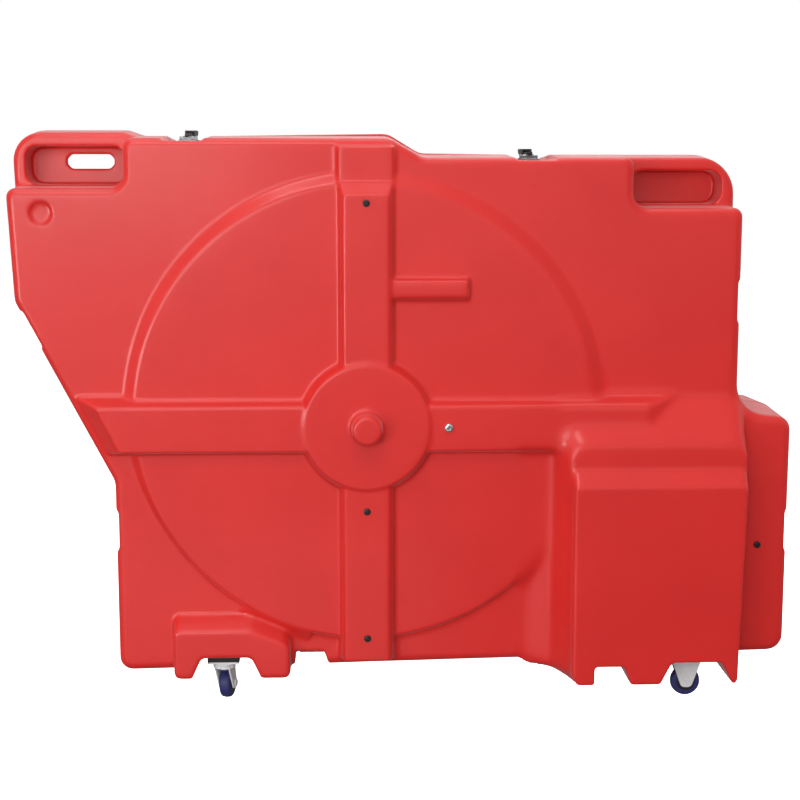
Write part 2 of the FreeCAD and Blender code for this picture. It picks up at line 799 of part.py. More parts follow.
def latch_lever(name, place):
    lever = new_body(name + "_lever", place)
    top = size("lever_height")
    end = PIVOT.x + size("lever_length")
    nose = PIVOT.y - PLATE - CLEAR
    wall = size("lever_wall")
    web_start = HOOK_PIVOT.x + 2 * wall
    cheek = [
        (HOOK_PIVOT.x - 2 * wall, top, nose), (end, top, wall), (end, top - 2 * wall, wall / 2),
        (web_start, PLATE + 2 * CLEAR, nose), (PIVOT.x - nose, PIVOT.y - nose, SLOT_ROUND * nose),
        (PIVOT.x - nose, PIVOT.y + nose / 2, nose / 2.5),
    ]
    hollow_cut = [
        (PIVOT.x - 2 * nose, 2 * top, 0.0), (web_start, 2 * top, 0.0), (web_start, top - wall, 0.0),
        (end - wall, top - wall, 0.0), (end - wall, -top, 0.0), (PIVOT.x - 2 * nose, -top, 0.0),
    ]
    extrude(lever, "cheeks", "YZ_Plane", outline_edges(cheek), "Sizes.lever_width")
    extrude(lever, "hollow", "YZ_Plane", outline_edges(hollow_cut),
            "Sizes.lever_width - 2 * Sizes.lever_wall", cut=True)
    extrude(lever, "pivot", "YZ_Plane", circle_edges(PIVOT.x, PIVOT.y, size("pivot_radius")),
            EAR_GAP + " + 2 * Sizes.ear_thickness")
    bore = circle_edges(HOOK_PIVOT.x, HOOK_PIVOT.y, size("hook_pin_radius") + RUNNING)
    extrude(lever, "bore", "YZ_Plane", bore, "2 * Sizes.lever_width", cut=True)


def latch_hook(name, place):
    hook = new_body(name + "_hook", place)
    half = size("hook_thickness") / 2
    tip_back = LIP_FRONT - CLEAR
    tip_front = tip_back - size("hook_tip_length")
    strap = [
        (tip_front, HOOK_PIVOT.y + half, half / 2),
        (HOOK_PIVOT.x + half, HOOK_PIVOT.y + half, SLOT_ROUND * half),
        (HOOK_PIVOT.x + half, HOOK_UNDER, SLOT_ROUND * half), (tip_back, HOOK_UNDER, 0.0),
        (tip_back, TIP_UNDER, 0.0), (tip_front, TIP_UNDER, half / 2),
    ]
    extrude(hook, "strap", "YZ_Plane", outline_edges(strap), "Sizes.hook_width")
    extrude(hook, "pin", "YZ_Plane", circle_edges(HOOK_PIVOT.x, HOOK_PIVOT.y, size("hook_pin_radius")),
            "Sizes.lever_width")


def latch_keeper(name, place):
    keeper = new_body(name + "_keeper", place)
    near = -size("latch_offset")
    far = near - size("keeper_length")
    lip_top = TIP_UNDER - CLEAR
    profile = [
        (far, PLATE, PLATE / 2), (LIP_FRONT, PLATE, 0.0), (LIP_FRONT, lip_top, PLATE / 2),
        (LIP_BACK, lip_top, PLATE / 2), (LIP_BACK, PLATE, 0.0), (near, PLATE, 0.0),
        (near, 0.0, 0.0), (far, 0.0, 0.0),
    ]
    extrude(keeper, "plate", "YZ_Plane", outline_edges(profile), "Sizes.latch_base_width")


for latch_name, latch_x, latch_z, latch_turn in latch_frames():
    rotation = FreeCAD.Rotation(Vector(0, 1, 0), latch_turn)
    seat = Vector(latch_x, 0, latch_z) - rotation.multVec(Vector(0, 0, size("latch_recess_depth")))
    latch_place = FreeCAD.Placement(seat, rotation)
    for make_piece in (latch_base, latch_lever, latch_hook, latch_keeper):
        make_piece(latch_name, latch_place)


# Casters: swivel casters at the left end, fixed ones at the right end, one of each on each half

AXLE_Z = size("tyre_radius")
PLATE_TOP = size("caster_height")
PLATE_UNDER = PLATE_TOP - size("caster_plate")
FORK_GAP = "Sizes.hub_width + 2 * Sizes.side_clearance"
FORK_WIDTH = FORK_GAP + " + 2 * Sizes.fork_thickness"


def caster_wheel(name, place, trail):
    hub = new_body(name + "_hub", place)
    bore = circle_edges(trail, AXLE_Z, size("axle_radius") + RUNNING)
    extrude(hub, "web", "XZ_Plane", circle_edges(trail, AXLE_Z, size("rim_radius")), "Sizes.tyre_width")
    extrude(hub, "boss", "XZ_Plane", circle_edges(trail, AXLE_Z, 2 * size("axle_radius")), "Sizes.hub_width")
    extrude(hub, "bore", "XZ_Plane", bore, "2 * Sizes.hub_width", cut=True)
    tyre = new_body(name + "_tyre", place)
    ring = circle_edges(trail, AXLE_Z, size("tyre_radius")) + circle_edges(trail, AXLE_Z, size("rim_radius"))
    tread = extrude(tyre, "ring", "XZ_Plane", ring, "Sizes.tyre_width")
    shoulders = [
        "Edge%d" % index for index, edge in enumerate(tread.Shape.Edges, start=1)
        if isinstance(edge.Curve, Part.Circle) and edge.Curve.Radius > size("tyre_radius") - RUNNING
    ]
    bevel = tyre.newObject("PartDesign::Chamfer", name + "_tyre_bevel")
    bevel.Base = (tread, shoulders)
    bevel.setExpression("Size", "Sizes.tyre_width / 5")
    doc.recompute()


def caster_axle(name, place, trail):
    axle = new_body(name + "_axle", place)
    half = size("hub_width") / 2 + CLEAR + size("fork_thickness")
    head = size("axle_head_height")
    extrude(axle, "rod", "XZ_Plane", circle_edges(trail, AXLE_Z, size("axle_radius")), FORK_WIDTH)
    for name_end, offset in (("near_head", half), ("far_head", -half - head)):
        extrude(axle, name_end, "XZ_Plane", circle_edges(trail, AXLE_Z, size("axle_head_radius")),
                "Sizes.axle_head_height", offset=offset, symmetric=False)


def plate_edges():
    half_length = size("caster_plate_length") / 2
    half_width = size("caster_plate_width") / 2
    return outline_edges(rectangle(-half_length, half_length, -half_width, half_width, TIGHT_CORNER / 2))


def fork_cheeks(body, top, width, shift):
    """Two cheeks that narrow from the top down to the axle."""
    tip = size("fork_tip_radius")
    cheeks = [(-width / 2, top, 0.0), (width / 2, top, 0.0), (shift + tip, AXLE_Z - tip, SLOT_ROUND * tip),
              (shift - tip, AXLE_Z - tip, SLOT_ROUND * tip)]
    extrude(body, "cheeks", "XZ_Plane", outline_edges(cheeks), FORK_WIDTH)


def caster_swivel(name, fixed_place, place):
    trail = size("trail")
    raceway_under = PLATE_UNDER - size("raceway_height")
    fork_top = raceway_under - CLEAR
    crown_under = fork_top - 2 * size("fork_thickness")
    nut_top = crown_under - CLEAR
    plate = new_body(name + "_plate", fixed_place)
    extrude(plate, "plate", "XY_Plane", plate_edges(), "Sizes.caster_plate",
            offset=PLATE_UNDER, symmetric=False)
    extrude(plate, "raceway", "XY_Plane", circle_edges(0, 0, size("raceway_radius")), "Sizes.raceway_height",
            offset=raceway_under, symmetric=False)
    extrude(plate, "kingpin", "XY_Plane", circle_edges(0, 0, size("kingpin_radius")),
            "Sizes.raceway_height + 2 * Sizes.fork_thickness + 2 * Sizes.side_clearance",
            offset=nut_top, symmetric=False)
    extrude(plate, "nut", "XY_Plane", circle_edges(0, 0, size("kingpin_nut_radius")),
            "Sizes.kingpin_nut_height", offset=nut_top - size("kingpin_nut_height"), symmetric=False)
    fork = new_body(name + "_fork", place)
    fork_cheeks(fork, fork_top, size("swivel_fork_width"), trail)
    span = size("caster_plate_length")
    gap = rectangle(-span, span, -span, crown_under)
    extrude(fork, "gap", "XZ_Plane", outline_edges(gap), FORK_GAP, cut=True)
    extrude(fork, "crown", "XY_Plane", circle_edges(0, 0, size("raceway_radius")), "2 * Sizes.fork_thickness",
            offset=crown_under, symmetric=False)
    extrude(fork, "kingpin_bore", "XY_Plane", circle_edges(0, 0, size("kingpin_radius") + RUNNING),
            "4 * Sizes.caster_height", cut=True)
    extrude(fork, "axle_bore", "XZ_Plane", circle_edges(trail, AXLE_Z, size("axle_radius") + RUNNING),
            "4 * Sizes.hub_width", cut=True)
    caster_axle(name, place, trail)
    caster_wheel(name, place, trail)


def caster_fixed(name, place):
    bracket = new_body(name + "_bracket", place)
    fork_cheeks(bracket, PLATE_UNDER, size("fork_top_width"), 0.0)
    span = size("caster_plate_length")
    gap = rectangle(-span, span, -span, PLATE_UNDER)
    extrude(bracket, "plate", "XY_Plane", plate_edges(), "Sizes.caster_plate",
            offset=PLATE_UNDER, symmetric=False)
    extrude(bracket, "gap", "XZ_Plane", outline_edges(gap), FORK_GAP, cut=True)
    extrude(bracket, "axle_bore", "XZ_Plane", circle_edges(0, AXLE_Z, size("axle_radius") + RUNNING),
            "4 * Sizes.hub_width", cut=True)
    caster_axle(name, place, 0.0)
    caster_wheel(name, place, 0.0)


def caster_block(name, x, y, roof):
    """The block between a caster's plate and the roof of its bay."""
    block = doc.addObject("Part::Box", name)
    block.setExpression("Length", "Sizes.caster_plate_length")
    block.setExpression("Width", "Sizes.caster_plate_width")
    block.setExpression("Height", "Sizes.%s - Sizes.caster_height" % roof)
    corner = Vector(x - size("caster_plate_length") / 2, y - size("caster_plate_width") / 2, PLATE_TOP)
    block.Placement = FreeCAD.Placement(corner, FreeCAD.Rotation())
    return block


for half_name, side in (("front", -1), ("rear", 1)):
    caster_y = side * size("caster_y")
    left_x = size("left_caster_x")
    right_x = size("right_caster_x")
    turned = FreeCAD.Rotation(Vector(0, 0, 1), size("swivel_turn"))
    left_place = FreeCAD.Placement(Vector(left_x, caster_y, 0), FreeCAD.Rotation())
    turned_place = FreeCAD.Placement(left_place.Base, turned)
    caster_swivel("caster_%s_left" % half_name, left_place, turned_place)
    caster_fixed("caster_%s_right" % half_name,
                 FreeCAD.Placement(Vector(right_x, caster_y, 0), FreeCAD.Rotation()))
    grouped("caster_blocks_%s" % half_name, [
        caster_block("block_%s_left" % half_name, left_x, caster_y, "left_bay_height"),
        caster_block("block_%s_right" % half_name, right_x, caster_y, "right_bay_height"),
    ])


# Inside: the anti-crush strut with its screw, and the bolted straps that hold the wheels

def strap_set(half_name, side):
    fasteners = []
    straps = []
    outwards = Vector(0, side, 0)
    for name, x, z, level, run in strap_bolts():
        tag = "%s_%s" % (name, half_name)
        seat = Vector(x, side * level, z)
        inner_wall = side * (level - WALL)
        strap_inner = inner_wall - side * size("strap_thickness")
        head = rod(tag + "_head", "Sizes.bolt_head_radius", "Sizes.bolt_head_height", seat, outwards)
        shank = rod(tag + "_shank", "Sizes.bolt_radius",
                    "Sizes.wall + Sizes.strap_thickness + Sizes.nut_height", seat, -outwards)
        fasteners.append(fused(tag, [head, shank]))
        nut = doc.addObject("Part::Prism", tag + "_hexagon")
        nut.Polygon = 6
        nut.setExpression("Circumradius", "Sizes.nut_radius")
        nut.setExpression("Height", "Sizes.nut_height")
        nut.Placement = FreeCAD.Placement(Vector(x, strap_inner, z),
                                          FreeCAD.Rotation(Vector(0, 0, 1), -outwards))
        thread = rod(tag + "_thread", "Sizes.bolt_radius + Sizes.running_clearance", "2 * Sizes.nut_height",
                     Vector(x, strap_inner, z) + outwards, -outwards)
        fasteners.append(cut_object(tag + "_nut", nut, thread))
        band = doc.addObject("Part::Box", tag + "_band")
        band.setExpression("Length", "Sizes.strap_width")
        band.setExpression("Width", "Sizes.strap_thickness")
        band.setExpression("Height", "Sizes.strap_length")
        margin = size("strap_width") / 4
        low = z - margin if run > 0 else z + margin - size("strap_length")
        band.Placement = FreeCAD.Placement(
            Vector(x - size("strap_width") / 2, min(inner_wall, strap_inner), low), FreeCAD.Rotation())
        eyelet = rod(tag + "_eyelet", "Sizes.bolt_radius + Sizes.running_clearance", "2 * Sizes.wall",
                     Vector(x, inner_wall + side * WALL / 2, z), -outwards)
        straps.append(cut_object(tag + "_strap", band, eyelet))
    grouped("strap_bolts_" + half_name, fasteners)
    grouped("wheel_straps_" + half_name, straps)


strap_set("front", -1)
strap_set("rear", 1)

strut_place = FreeCAD.Placement(Vector(size("strut_x"), 0, size("strut_z")), FreeCAD.Rotation())
strut_front = RIB_LEVEL - WALL
strut_rear = strut_front - CLEAR
strut = new_body("strut", strut_place)
extrude(strut, "pole", "XZ_Plane", circle_edges(0, 0, size("strut_radius")),
        "2 * (Sizes.main_depth + Sizes.rib_rise - Sizes.wall) - Sizes.side_clearance",
        offset=-strut_rear, symmetric=False)
extrude(strut, "bore", "XZ_Plane", circle_edges(0, 0, size("strut_bore")), "Sizes.screw_length",
        cut=True, offset=strut_front, symmetric=False)
screw_seat = Vector(size("strut_x"), -RIB_LEVEL, size("strut_z"))
strut_screw = fused("strut_screw", [
    rod("screw_head", "Sizes.screw_head_radius", "Sizes.screw_head_height", screw_seat, Vector(0, -1, 0)),
    rod("screw_shank", "Sizes.screw_radius", "Sizes.screw_length", screw_seat, Vector(0, 1, 0)),
])
nodes.append(strut_screw)

# Nothing is written unless every object and every piece is sound
doc.recompute()
for item in doc.Objects:
    if "Invalid" in item.State or "Error" in item.State:
        raise RuntimeError("%s failed: %s" % (item.Name, item.State))
for node in nodes:
    if node.Shape.isNull() or not node.Shape.isValid():
        raise RuntimeError("%s has no sound shape" % node.Label)
os.makedirs("parts", exist_ok=True)
for node in nodes:
    node.Shape.exportStep("parts/%s.step" % node.Label)
print("%d pieces written" % len(nodes))
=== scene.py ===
# Looks of the bike travel case: softly moulded shells, finished metal, rubber and webbing, and a pale studio.
# Metres, in the frame of the loaded parts: X along the length, -Y to the front, Z up from under the casters.
import json
import math

import bmesh
import bpy
import numpy as np
from mathutils import Matrix, Vector


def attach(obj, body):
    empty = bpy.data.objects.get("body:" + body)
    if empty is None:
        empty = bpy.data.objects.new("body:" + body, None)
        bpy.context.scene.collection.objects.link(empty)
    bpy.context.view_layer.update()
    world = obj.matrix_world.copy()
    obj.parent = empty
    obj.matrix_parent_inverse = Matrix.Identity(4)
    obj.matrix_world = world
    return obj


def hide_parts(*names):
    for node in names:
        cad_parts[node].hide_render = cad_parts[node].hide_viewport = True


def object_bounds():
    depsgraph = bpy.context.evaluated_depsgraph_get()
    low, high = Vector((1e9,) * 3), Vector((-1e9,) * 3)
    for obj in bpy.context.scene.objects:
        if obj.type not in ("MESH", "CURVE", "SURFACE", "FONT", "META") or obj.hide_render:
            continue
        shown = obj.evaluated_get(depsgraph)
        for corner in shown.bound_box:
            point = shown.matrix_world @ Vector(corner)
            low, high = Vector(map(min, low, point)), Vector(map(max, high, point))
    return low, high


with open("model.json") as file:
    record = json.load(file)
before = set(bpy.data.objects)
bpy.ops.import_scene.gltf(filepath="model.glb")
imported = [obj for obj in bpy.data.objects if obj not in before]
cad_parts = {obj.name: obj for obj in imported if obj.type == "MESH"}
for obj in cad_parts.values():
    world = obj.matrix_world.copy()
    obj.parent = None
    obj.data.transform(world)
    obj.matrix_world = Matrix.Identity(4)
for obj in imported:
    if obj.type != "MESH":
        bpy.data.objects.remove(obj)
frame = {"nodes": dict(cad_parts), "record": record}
CAD_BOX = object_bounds()
NODES = frame["nodes"]
RECORD = frame["record"]
BODY_OF = {node: body for body, names in RECORD["behaviour"]["bodies"].items() for node in names}
SLOT_OF = {entry["node"]: entry["material_slot"] for entry in RECORD["subparts"]}
MM = 0.001
WHITE = (1.0, 1.0, 1.0, 1.0)
# each half's name and the sign of Y on its side
HALVES = (("front", -1.0), ("rear", 1.0))


# Materials

class Shader:
    """One node material with a few helpers to add and join nodes."""

    def __init__(self, name):
        self.material = bpy.data.materials.new(name)
        self.material.use_nodes = True
        self.tree = self.material.node_tree
        self.surface = self.tree.nodes["Principled BSDF"]
        coordinates = self.tree.nodes.new("ShaderNodeTexCoord")
        self.place = coordinates.outputs["Object"]

    def set(self, **values):
        """Constant values for the surface's inputs."""
        for name, value in values.items():
            self.surface.inputs[name.replace("_", " ")].default_value = value

    def node(self, kind, inputs=None, **settings):
        """A new node; each input takes a value or another node's output."""
        made = self.tree.nodes.new(kind)
        for name, value in settings.items():
            setattr(made, name, value)
        for name, value in (inputs or {}).items():
            if isinstance(value, bpy.types.NodeSocket):
                self.tree.links.new(value, made.inputs[name])
            else:
                made.inputs[name].default_value = value
        return made

    def noise(self, scale, detail=2.0, stretch=None):
        """Noise over the object's own coordinates, finer along the axes that are stretched."""
        place = self.place
        if stretch:
            place = self.node("ShaderNodeMapping", {"Vector": place, "Scale": stretch}).outputs["Vector"]
        made = self.node("ShaderNodeTexNoise", {"Vector": place, "Scale": scale, "Detail": detail})
        return made.outputs["Fac"]

    def spread(self, source, low, high, start=0.3, stop=0.7):
        """The middle range of a source, spread from a low to a high value."""
        made = self.node("ShaderNodeMapRange", {"Value": source, "From Min": start, "From Max": stop,
                                                "To Min": low, "To Max": high})
        return made.outputs["Result"]

    def colours(self, source, *stops):
        """A blend of colours, each at its own level of a source."""
        band = self.node("ShaderNodeValToRGB", {"Fac": source})
        elements = band.color_ramp.elements
        while len(elements) < len(stops):
            elements.new(0.5)
        for element, (position, colour) in zip(elements, stops):
            element.position = position
            element.color = (*colour, 1.0)
        return band.outputs["Color"]

    def bump(self, height, distance, strength=1.0, under=None):
        """Relief from a height, on top of other relief if there is any."""
        inputs = {"Height": height, "Distance": distance, "Strength": strength}
        if under:
            inputs["Normal"] = under
        return self.node("ShaderNodeBump", inputs).outputs["Normal"]

    def join(self, **sources):
        """Join outputs to the surface's inputs and return the finished material."""
        for name, source in sources.items():
            self.tree.links.new(source, self.surface.inputs[name.replace("_", " ")])
        return self.material


def moulded_plastic(name, dark, light, roughness, peel):
    """Rotomoulded polyethylene: cloudy colour, uneven gloss and a fine orange peel."""
    shader = Shader(name)
    shader.set(Specular_IOR_Level=0.5, Coat_Weight=0.45, Coat_Roughness=0.19, Sheen_Weight=0.2,
               Sheen_Roughness=0.35)
    clouds = shader.noise(7.0, 3.0)
    colour = shader.colours(clouds, (0.3, dark), (0.7, light))
    gloss = shader.spread(shader.noise(40.0, 3.0), roughness - 0.05, roughness + 0.05)
    swell = shader.bump(shader.noise(14.0, 1.0), 1.2 * MM, 0.25)
    grain = shader.bump(shader.noise(420.0, 2.0), peel, 0.35, swell)
    return shader.join(Base_Color=colour, Roughness=gloss, Normal=grain)


def plated_steel(name, dark, light, roughness, stretch, metal=1.0):
    """Zinc-plated pressed steel: faint drawn lines and blotchy brightness."""
    shader = Shader(name)
    shader.set(Metallic=metal)
    blotch = shader.noise(60.0, 4.0)
    lines = shader.noise(220.0, 2.0, stretch)
    colour = shader.colours(blotch, (0.3, dark), (0.7, light))
    gloss = shader.spread(lines, roughness - 0.08, roughness + 0.08)
    return shader.join(Base_Color=colour, Roughness=gloss, Normal=shader.bump(lines, 0.05 * MM, 0.3))


def coated_black(name, tint, roughness, grain):
    """Black plastic or powder coat with a fine pebble and slightly uneven gloss."""
    shader = Shader(name)
    clouds = shader.noise(90.0, 3.0)
    lighter = tuple(1.8 * part for part in tint)
    colour = shader.colours(clouds, (0.3, tint), (0.75, lighter))
    gloss = shader.spread(clouds, roughness - 0.08, roughness + 0.08)
    return shader.join(Base_Color=colour, Roughness=gloss,
                       Normal=shader.bump(shader.noise(grain, 2.0), 0.12 * MM, 0.4))


def tyre_rubber(name):
    """Blue rubber with scuffs on the running face."""
    shader = Shader(name)
    scuffs = shader.noise(160.0, 5.0)
    colour = shader.colours(scuffs, (0.35, (0.018, 0.019, 0.10)), (0.7, (0.035, 0.035, 0.17)))
    gloss = shader.spread(scuffs, 0.42, 0.62)
    return shader.join(Base_Color=colour, Roughness=gloss,
                       Normal=shader.bump(shader.noise(700.0, 2.0), 0.1 * MM, 0.35))


def woven_webbing(name):
    """Black webbing: a twill of crossing ribs."""
    shader = Shader(name)
    weave = shader.node("ShaderNodeTexWave", {"Vector": shader.place, "Scale": 170.0, "Distortion": 0.6,
                                              "Detail": 1.0}, bands_direction="DIAGONAL")
    height = weave.outputs["Fac"]
    colour = shader.colours(height, (0.2, (0.006, 0.006, 0.007)), (0.8, (0.03, 0.03, 0.033)))
    gloss = shader.spread(height, 0.7, 0.9)
    return shader.join(Base_Color=colour, Roughness=gloss, Normal=shader.bump(height, 0.4 * MM, 0.8))


MATERIALS = {
    "shell_plastic": moulded_plastic("red_polyethylene", (0.60, 0.010, 0.007), (0.65, 0.013, 0.009), 0.50,
                                     0.10 * MM),
    "latch_black": coated_black("latch_black", (0.010, 0.010, 0.011), 0.35, 900.0),
    "latch_steel": plated_steel("latch_steel", (0.20, 0.20, 0.21), (0.32, 0.32, 0.33), 0.34,
                                (1.0, 12.0, 1.0)),
    "hinge_steel": plated_steel("hinge_steel", (0.40, 0.40, 0.41), (0.56, 0.56, 0.57), 0.36,
                                (12.0, 1.0, 1.0)),
    "tyre_rubber": tyre_rubber("blue_rubber"),
    "hub_plastic": coated_black("hub_black", (0.010, 0.010, 0.011), 0.45, 700.0),
    "block_plastic": coated_black("block_black", (0.008, 0.008, 0.008), 0.5, 500.0),
    "caster_steel": plated_steel("caster_steel", (0.78, 0.78, 0.79), (0.90, 0.90, 0.91), 0.3,
                                 (1.0, 1.0, 12.0), 0.12),
    "strut_aluminium": plated_steel("strut_aluminium", (0.60, 0.60, 0.61), (0.72, 0.72, 0.73), 0.3,
                                    (1.0, 12.0, 1.0)),
    "screw_steel": plated_steel("screw_steel", (0.70, 0.70, 0.71), (0.82, 0.82, 0.83), 0.2, (4.0, 4.0, 4.0)),
    "strap_webbing": woven_webbing("webbing"),
    "bolt_black": coated_black("bolt_black", (0.008, 0.008, 0.009), 0.3, 1200.0),
}


def finish_nodes():
    """Give every shown node the finish of its slot."""
    for node, thing in NODES.items():
        thing.data.materials.clear()
        thing.data.materials.append(MATERIALS[SLOT_OF[node]])


# Shells: the moulded halves with the soft edges of a rotomoulded skin

VOXEL = 2.6 * MM
SOFTEN_STEPS = 6
SOFTEN_SHARE = 0.5
SOFTEN_LEVELS = 4
KEEP_SHARE = 0.25
RIM_KEPT = 4.0 * MM
RIM_BLEND = 8.0 * MM
# the rims all but meet, and their broken outer edges show as a seam
SEAM_REACH = 1.6 * MM
SEAM_HALF = 0.03 * MM
# the wheel disc's rim: wide where it faces up, steep where it faces down
RING_X = -63.0 * MM
RING_Z = 467.0 * MM
RING_TOP = 355.0 * MM
RING_BASE = 373.0 * MM
RING_REACH = 384.0 * MM
RING_LEVELS = (122.0 * MM, 137.0 * MM)
RING_STEEP = 0.22
RING_TURN = (math.radians(95.0), math.radians(45.0))
LEG_RIGHT = -150.0 * MM
LEG_TOP = 158.0 * MM
SKIRT_LEFT = 180.0 * MM
# the wall on the bulge's left runs out in one long hollow curve
HOLLOW_X = (178.0 * MM, 250.0 * MM)
HOLLOW_Z = (50.0 * MM, 440.0 * MM)
HOLLOW_FADE = 12.0 * MM
HOLLOW_STEPS = 70
# the step on top of the bulge has full, round shoulders
STEP_X = (240.0 * MM, 545.0 * MM)
STEP_Z = (418.0 * MM, 540.0 * MM)
STEP_FADE = 16.0 * MM
STEP_STEPS = 40
# the rear half's top rim has warped up a little between the top latches
BOW_MIDDLE = -30.0 * MM
BOW_HALF = 230.0 * MM
BOW_RISE = 4.0 * MM
BOW_DEPTH = 70.0 * MM
BOW_LOW = 800.0 * MM


def evaluated_mesh(thing, name):
    """The mesh of an object with its modifiers applied."""
    bpy.context.view_layer.update()
    graph = bpy.context.evaluated_depsgraph_get()
    mesh = bpy.data.meshes.new_from_object(thing.evaluated_get(graph), depsgraph=graph)
    mesh.name = name
    return mesh


def linked(name, mesh):
    """A new object in the scene."""
    thing = bpy.data.objects.new(name, mesh)
    bpy.context.scene.collection.objects.link(thing)
    return thing


def remeshed(source, name):
    """An even skin over the whole of a solid."""
    draft = linked(name + "_draft", source.data.copy())
    modifier = draft.modifiers.new("skin", "REMESH")
    modifier.mode = "VOXEL"
    modifier.voxel_size = VOXEL
    mesh = evaluated_mesh(draft, name)
    bpy.data.objects.remove(draft)
    return mesh


def mesh_places(mesh):
    """The places of a mesh's points as rows."""
    places = np.empty(len(mesh.vertices) * 3)
    mesh.vertices.foreach_get("co", places)
    return places.reshape(-1, 3)


def set_places(mesh, places):
    """Move a mesh's points to the places in rows."""
    mesh.vertices.foreach_set("co", places.ravel())
    mesh.update()


def ramp(values, start, stop):
    """A smooth step from 0 at the start to 1 at the stop."""
    share = np.clip((values - start) / (stop - start), 0.0, 1.0)
    return share * share * (3.0 - 2.0 * share)


def between(values, limits, fade):
    """1 inside two limits, fading to 0 outside them."""
    low, high = limits
    return ramp(values, low - fade, low) * ramp(-values, -high - fade, -high)


def steepen_ring(mesh):
    """Draw the lower half of the disc's bevel in to a narrow step."""
    places = mesh_places(mesh)
    x, y, z = places.T
    across = x - RING_X
    rise = z - RING_Z
    radius = np.hypot(across, rise)
    turn = np.abs(np.arctan2(across, -rise))
    narrow = 1.0 - (1.0 - RING_STEEP) * ramp(turn, *RING_TURN)
    edge = RING_TOP + (RING_BASE - RING_TOP) * narrow
    bevel = RING_TOP + (radius - RING_TOP) * narrow
    beyond = edge + (radius - RING_BASE) * (RING_REACH - edge) / (RING_REACH - RING_BASE)
    drawn = np.where(radius < RING_BASE, bevel, beyond)
    on_ring = (radius > RING_TOP) & (radius < RING_REACH) & (y > RING_LEVELS[0]) & (y < RING_LEVELS[1])
    under_leg = (x < LEG_RIGHT) & (z < LEG_TOP)
    under_skirt = (x > SKIRT_LEFT) & (z < RING_Z)
    covered = under_leg | under_skirt
    share = np.where(on_ring & ~covered, drawn / np.maximum(radius, MM), 1.0)
    places[:, 0] = RING_X + across * share
    places[:, 2] = RING_Z + rise * share
    set_places(mesh, places)


def smooth_by(thing, name, weights, repeats):
    """Smooth an object as much as each point's weight says."""
    group = thing.vertex_groups.new(name=name)
    levels = np.round(weights * SOFTEN_LEVELS).astype(int)
    for level in range(1, SOFTEN_LEVELS + 1):
        chosen = np.flatnonzero(levels == level)
        group.add(chosen.tolist(), level / SOFTEN_LEVELS, "REPLACE")
    smooth = thing.modifiers.new(name, "SMOOTH")
    smooth.factor = SOFTEN_SHARE
    smooth.iterations = repeats
    smooth.vertex_group = group.name


def soften(thing):
    """Round every edge but those of the rim, and two places more fully, then thin out the flat faces."""
    x, y, z = mesh_places(thing.data).T
    off_rim = np.clip((np.abs(y) - RIM_KEPT) / RIM_BLEND, 0.0, 1.0)
    smooth_by(thing, "soft", off_rim, SOFTEN_STEPS)
    outside = y > RING_LEVELS[0]
    hollow = outside * between(x, HOLLOW_X, HOLLOW_FADE) * between(z, HOLLOW_Z, HOLLOW_FADE)
    smooth_by(thing, "hollow", hollow, HOLLOW_STEPS)
    step = outside * between(x, STEP_X, STEP_FADE) * between(z, STEP_Z, STEP_FADE)
    smooth_by(thing, "step", step, STEP_STEPS)
    thinner = thing.modifiers.new("thin", "DECIMATE")
    thinner.ratio = KEEP_SHARE


def shell_piece(name, mesh, node):
    """A smooth skin in place of a shell's node."""
    mesh.polygons.foreach_set("use_smooth", np.ones(len(mesh.polygons), dtype=bool))
    mesh.materials.clear()
    mesh.materials.append(MATERIALS["shell_plastic"])
    piece = linked(name, mesh)
    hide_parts(node)
    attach(piece, BODY_OF[node])


def close_seam(mesh):
    """Flatten the rear rim just short of the plane where the halves meet."""
    places = mesh_places(mesh)
    places[places[:, 1] < SEAM_REACH, 1] = SEAM_HALF
    set_places(mesh, places)


def bow_rim(mesh):
    """Raise the rear half's top rim in one long low swell that dies out towards the latches."""
    top = CAD_BOX[1][2]
    for vertex in mesh.vertices:
        x, y, z = vertex.co
        along = (x - BOW_MIDDLE) / BOW_HALF
        if abs(along) > 1.0 or y > BOW_DEPTH or z < BOW_LOW:
            continue
        swell = math.cos(along * math.pi / 2) ** 2
        fade = (1.0 - y / BOW_DEPTH) * (z - BOW_LOW) / (top - BOW_LOW)
        vertex.co.z = z + BOW_RISE * swell * fade


def add_shells():
    """Both halves from one skin: the front is the mirror image of the rear."""
    skin = remeshed(NODES["rear_shell"], "shell_skin")
    steepen_ring(skin)
    draft = linked("shell_draft", skin)
    soften(draft)
    rear = evaluated_mesh(draft, "rear_shell_skin")
    bpy.data.objects.remove(draft)
    close_seam(rear)
    front = rear.copy()
    front.name = "front_shell_skin"
    front.transform(Matrix.Diagonal((1.0, -1.0, 1.0, 1.0)))
    front.flip_normals()
    bow_rim(rear)
    shell_piece("rear_shell_skin", rear, "rear_shell")
    shell_piece("front_shell_skin", front, "front_shell")


# Turned pieces: tyres, bolt heads and rivets

TURN_STEPS = 48
HEAD_STEPS = 24
SHARP_ANGLE = math.radians(40.0)
WELD = 1e-6


def turned(form, place, axis, profile, steps=HEAD_STEPS):
    """Turn a profile of radius and height pairs about an axis; the heights run along it."""
    axis = Vector(axis).normalized()
    side = axis.orthogonal().normalized()
    across = axis.cross(side)
    rings = []
    for radius, height in profile:
        middle = Vector(place) + axis * height
        if radius == 0.0:
            rings.append([form.verts.new(middle)] * steps)
            continue
        ring = []
        for step in range(steps):
            angle = math.tau * step / steps
            ring.append(form.verts.new(middle + radius * (math.cos(angle) * side + math.sin(angle) * across)))
        rings.append(ring)
    for low, high in zip(rings, rings[1:]):
        for step in range(steps):
            near = (step + 1) % steps
            corners = list(dict.fromkeys((low[step], low[near], high[near], high[step])))
            form.faces.new(corners)


